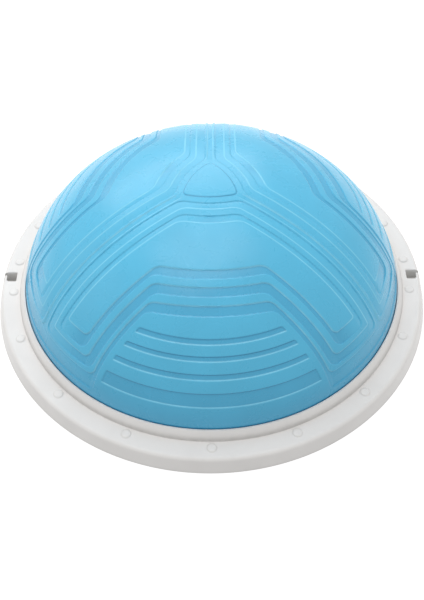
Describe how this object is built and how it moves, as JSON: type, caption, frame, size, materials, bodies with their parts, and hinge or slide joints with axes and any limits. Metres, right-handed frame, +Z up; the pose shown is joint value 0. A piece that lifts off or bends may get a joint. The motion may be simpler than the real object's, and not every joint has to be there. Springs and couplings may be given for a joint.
{
  "type": "balance dome trainer",
  "caption": "Inflated half-ball balance dome clamped by a screwed ring on a flat round platform, with a notch and hook for a resistance band on each side.",
  "frame": {"origin": "centre of the object on the floor, below the middle of the dome", "axes": "+Z up along the dome's axis, the band notches on +X and -X, -Y towards the front"},
  "size_m": [0.6, 0.6, 0.213],
  "materials": {
    "dome_pvc": "satin moulded PVC",
    "white_plastic": "semi-gloss injection-moulded plastic",
    "black_rubber": "matt moulded rubber",
    "zinc_steel": "zinc-plated steel",
    "grey_plastic": "matt moulded plastic"
  },
  "bodies": {
    "trainer": {"dome_bladder": "dome_pvc", "clamp_ring": "white_plastic", "base_plate": "white_plastic", "seal_ring": "black_rubber", "valve_seat": "dome_pvc", "screw_01": "zinc_steel", "screw_02": "zinc_steel", "screw_03": "zinc_steel", "screw_04": "zinc_steel", "screw_05": "zinc_steel", "screw_06": "zinc_steel", "screw_07": "zinc_steel", "screw_08": "zinc_steel", "screw_09": "zinc_steel", "screw_10": "zinc_steel", "screw_11": "zinc_steel", "screw_12": "zinc_steel", "screw_13": "zinc_steel", "screw_14": "zinc_steel", "screw_15": "zinc_steel", "screw_16": "zinc_steel", "screw_17": "zinc_steel", "screw_18": "zinc_steel", "foot_1": "black_rubber", "foot_2": "black_rubber", "foot_3": "black_rubber", "foot_4": "black_rubber", "foot_5": "black_rubber", "foot_6": "black_rubber", "foot_7": "black_rubber", "foot_8": "black_rubber"},
    "plug": {"valve_plug": "grey_plastic"}
  },
  "joints": [
    {"name": "plug_pull", "type": "slide", "parent": "trainer", "child": "plug", "axis": [0, 0.8689, 0.495], "range_m": [0, 0.024]}
  ]
}
